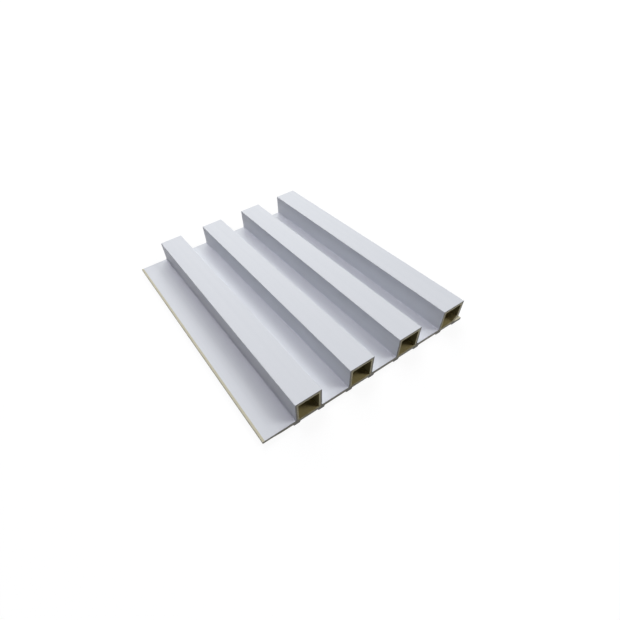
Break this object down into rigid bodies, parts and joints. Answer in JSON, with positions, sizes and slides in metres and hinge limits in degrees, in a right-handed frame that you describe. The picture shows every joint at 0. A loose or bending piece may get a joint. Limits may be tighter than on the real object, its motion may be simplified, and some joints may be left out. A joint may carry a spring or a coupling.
{
  "type": "fluted pvc cladding panel",
  "caption": "Short length of fluted wall cladding: hollow box ribs on a thin sheet, a plain flange along one edge and a slotted lip along the other, white film over foamed PVC.",
  "frame": {"origin": "bottom centre of the panel's box: middle of the width and of the length, at the level of the back feet", "axes": "+X across the ribs, from the flange to the slotted lip; +Y along the extrusion; +Z out of the wall, towards the rib tops"},
  "size_m": [0.1668, 0.202, 0.0205],
  "materials": {
    "film_faced_foamed_pvc": "satin white decor film on the ribbed face; olive-cream foamed core on the sawn ends, in the hollows, on the back and along the flange edge"
  },
  "bodies": {
    "root": {"cladding_panel": "film_faced_foamed_pvc"}
  },
  "joints": []
}
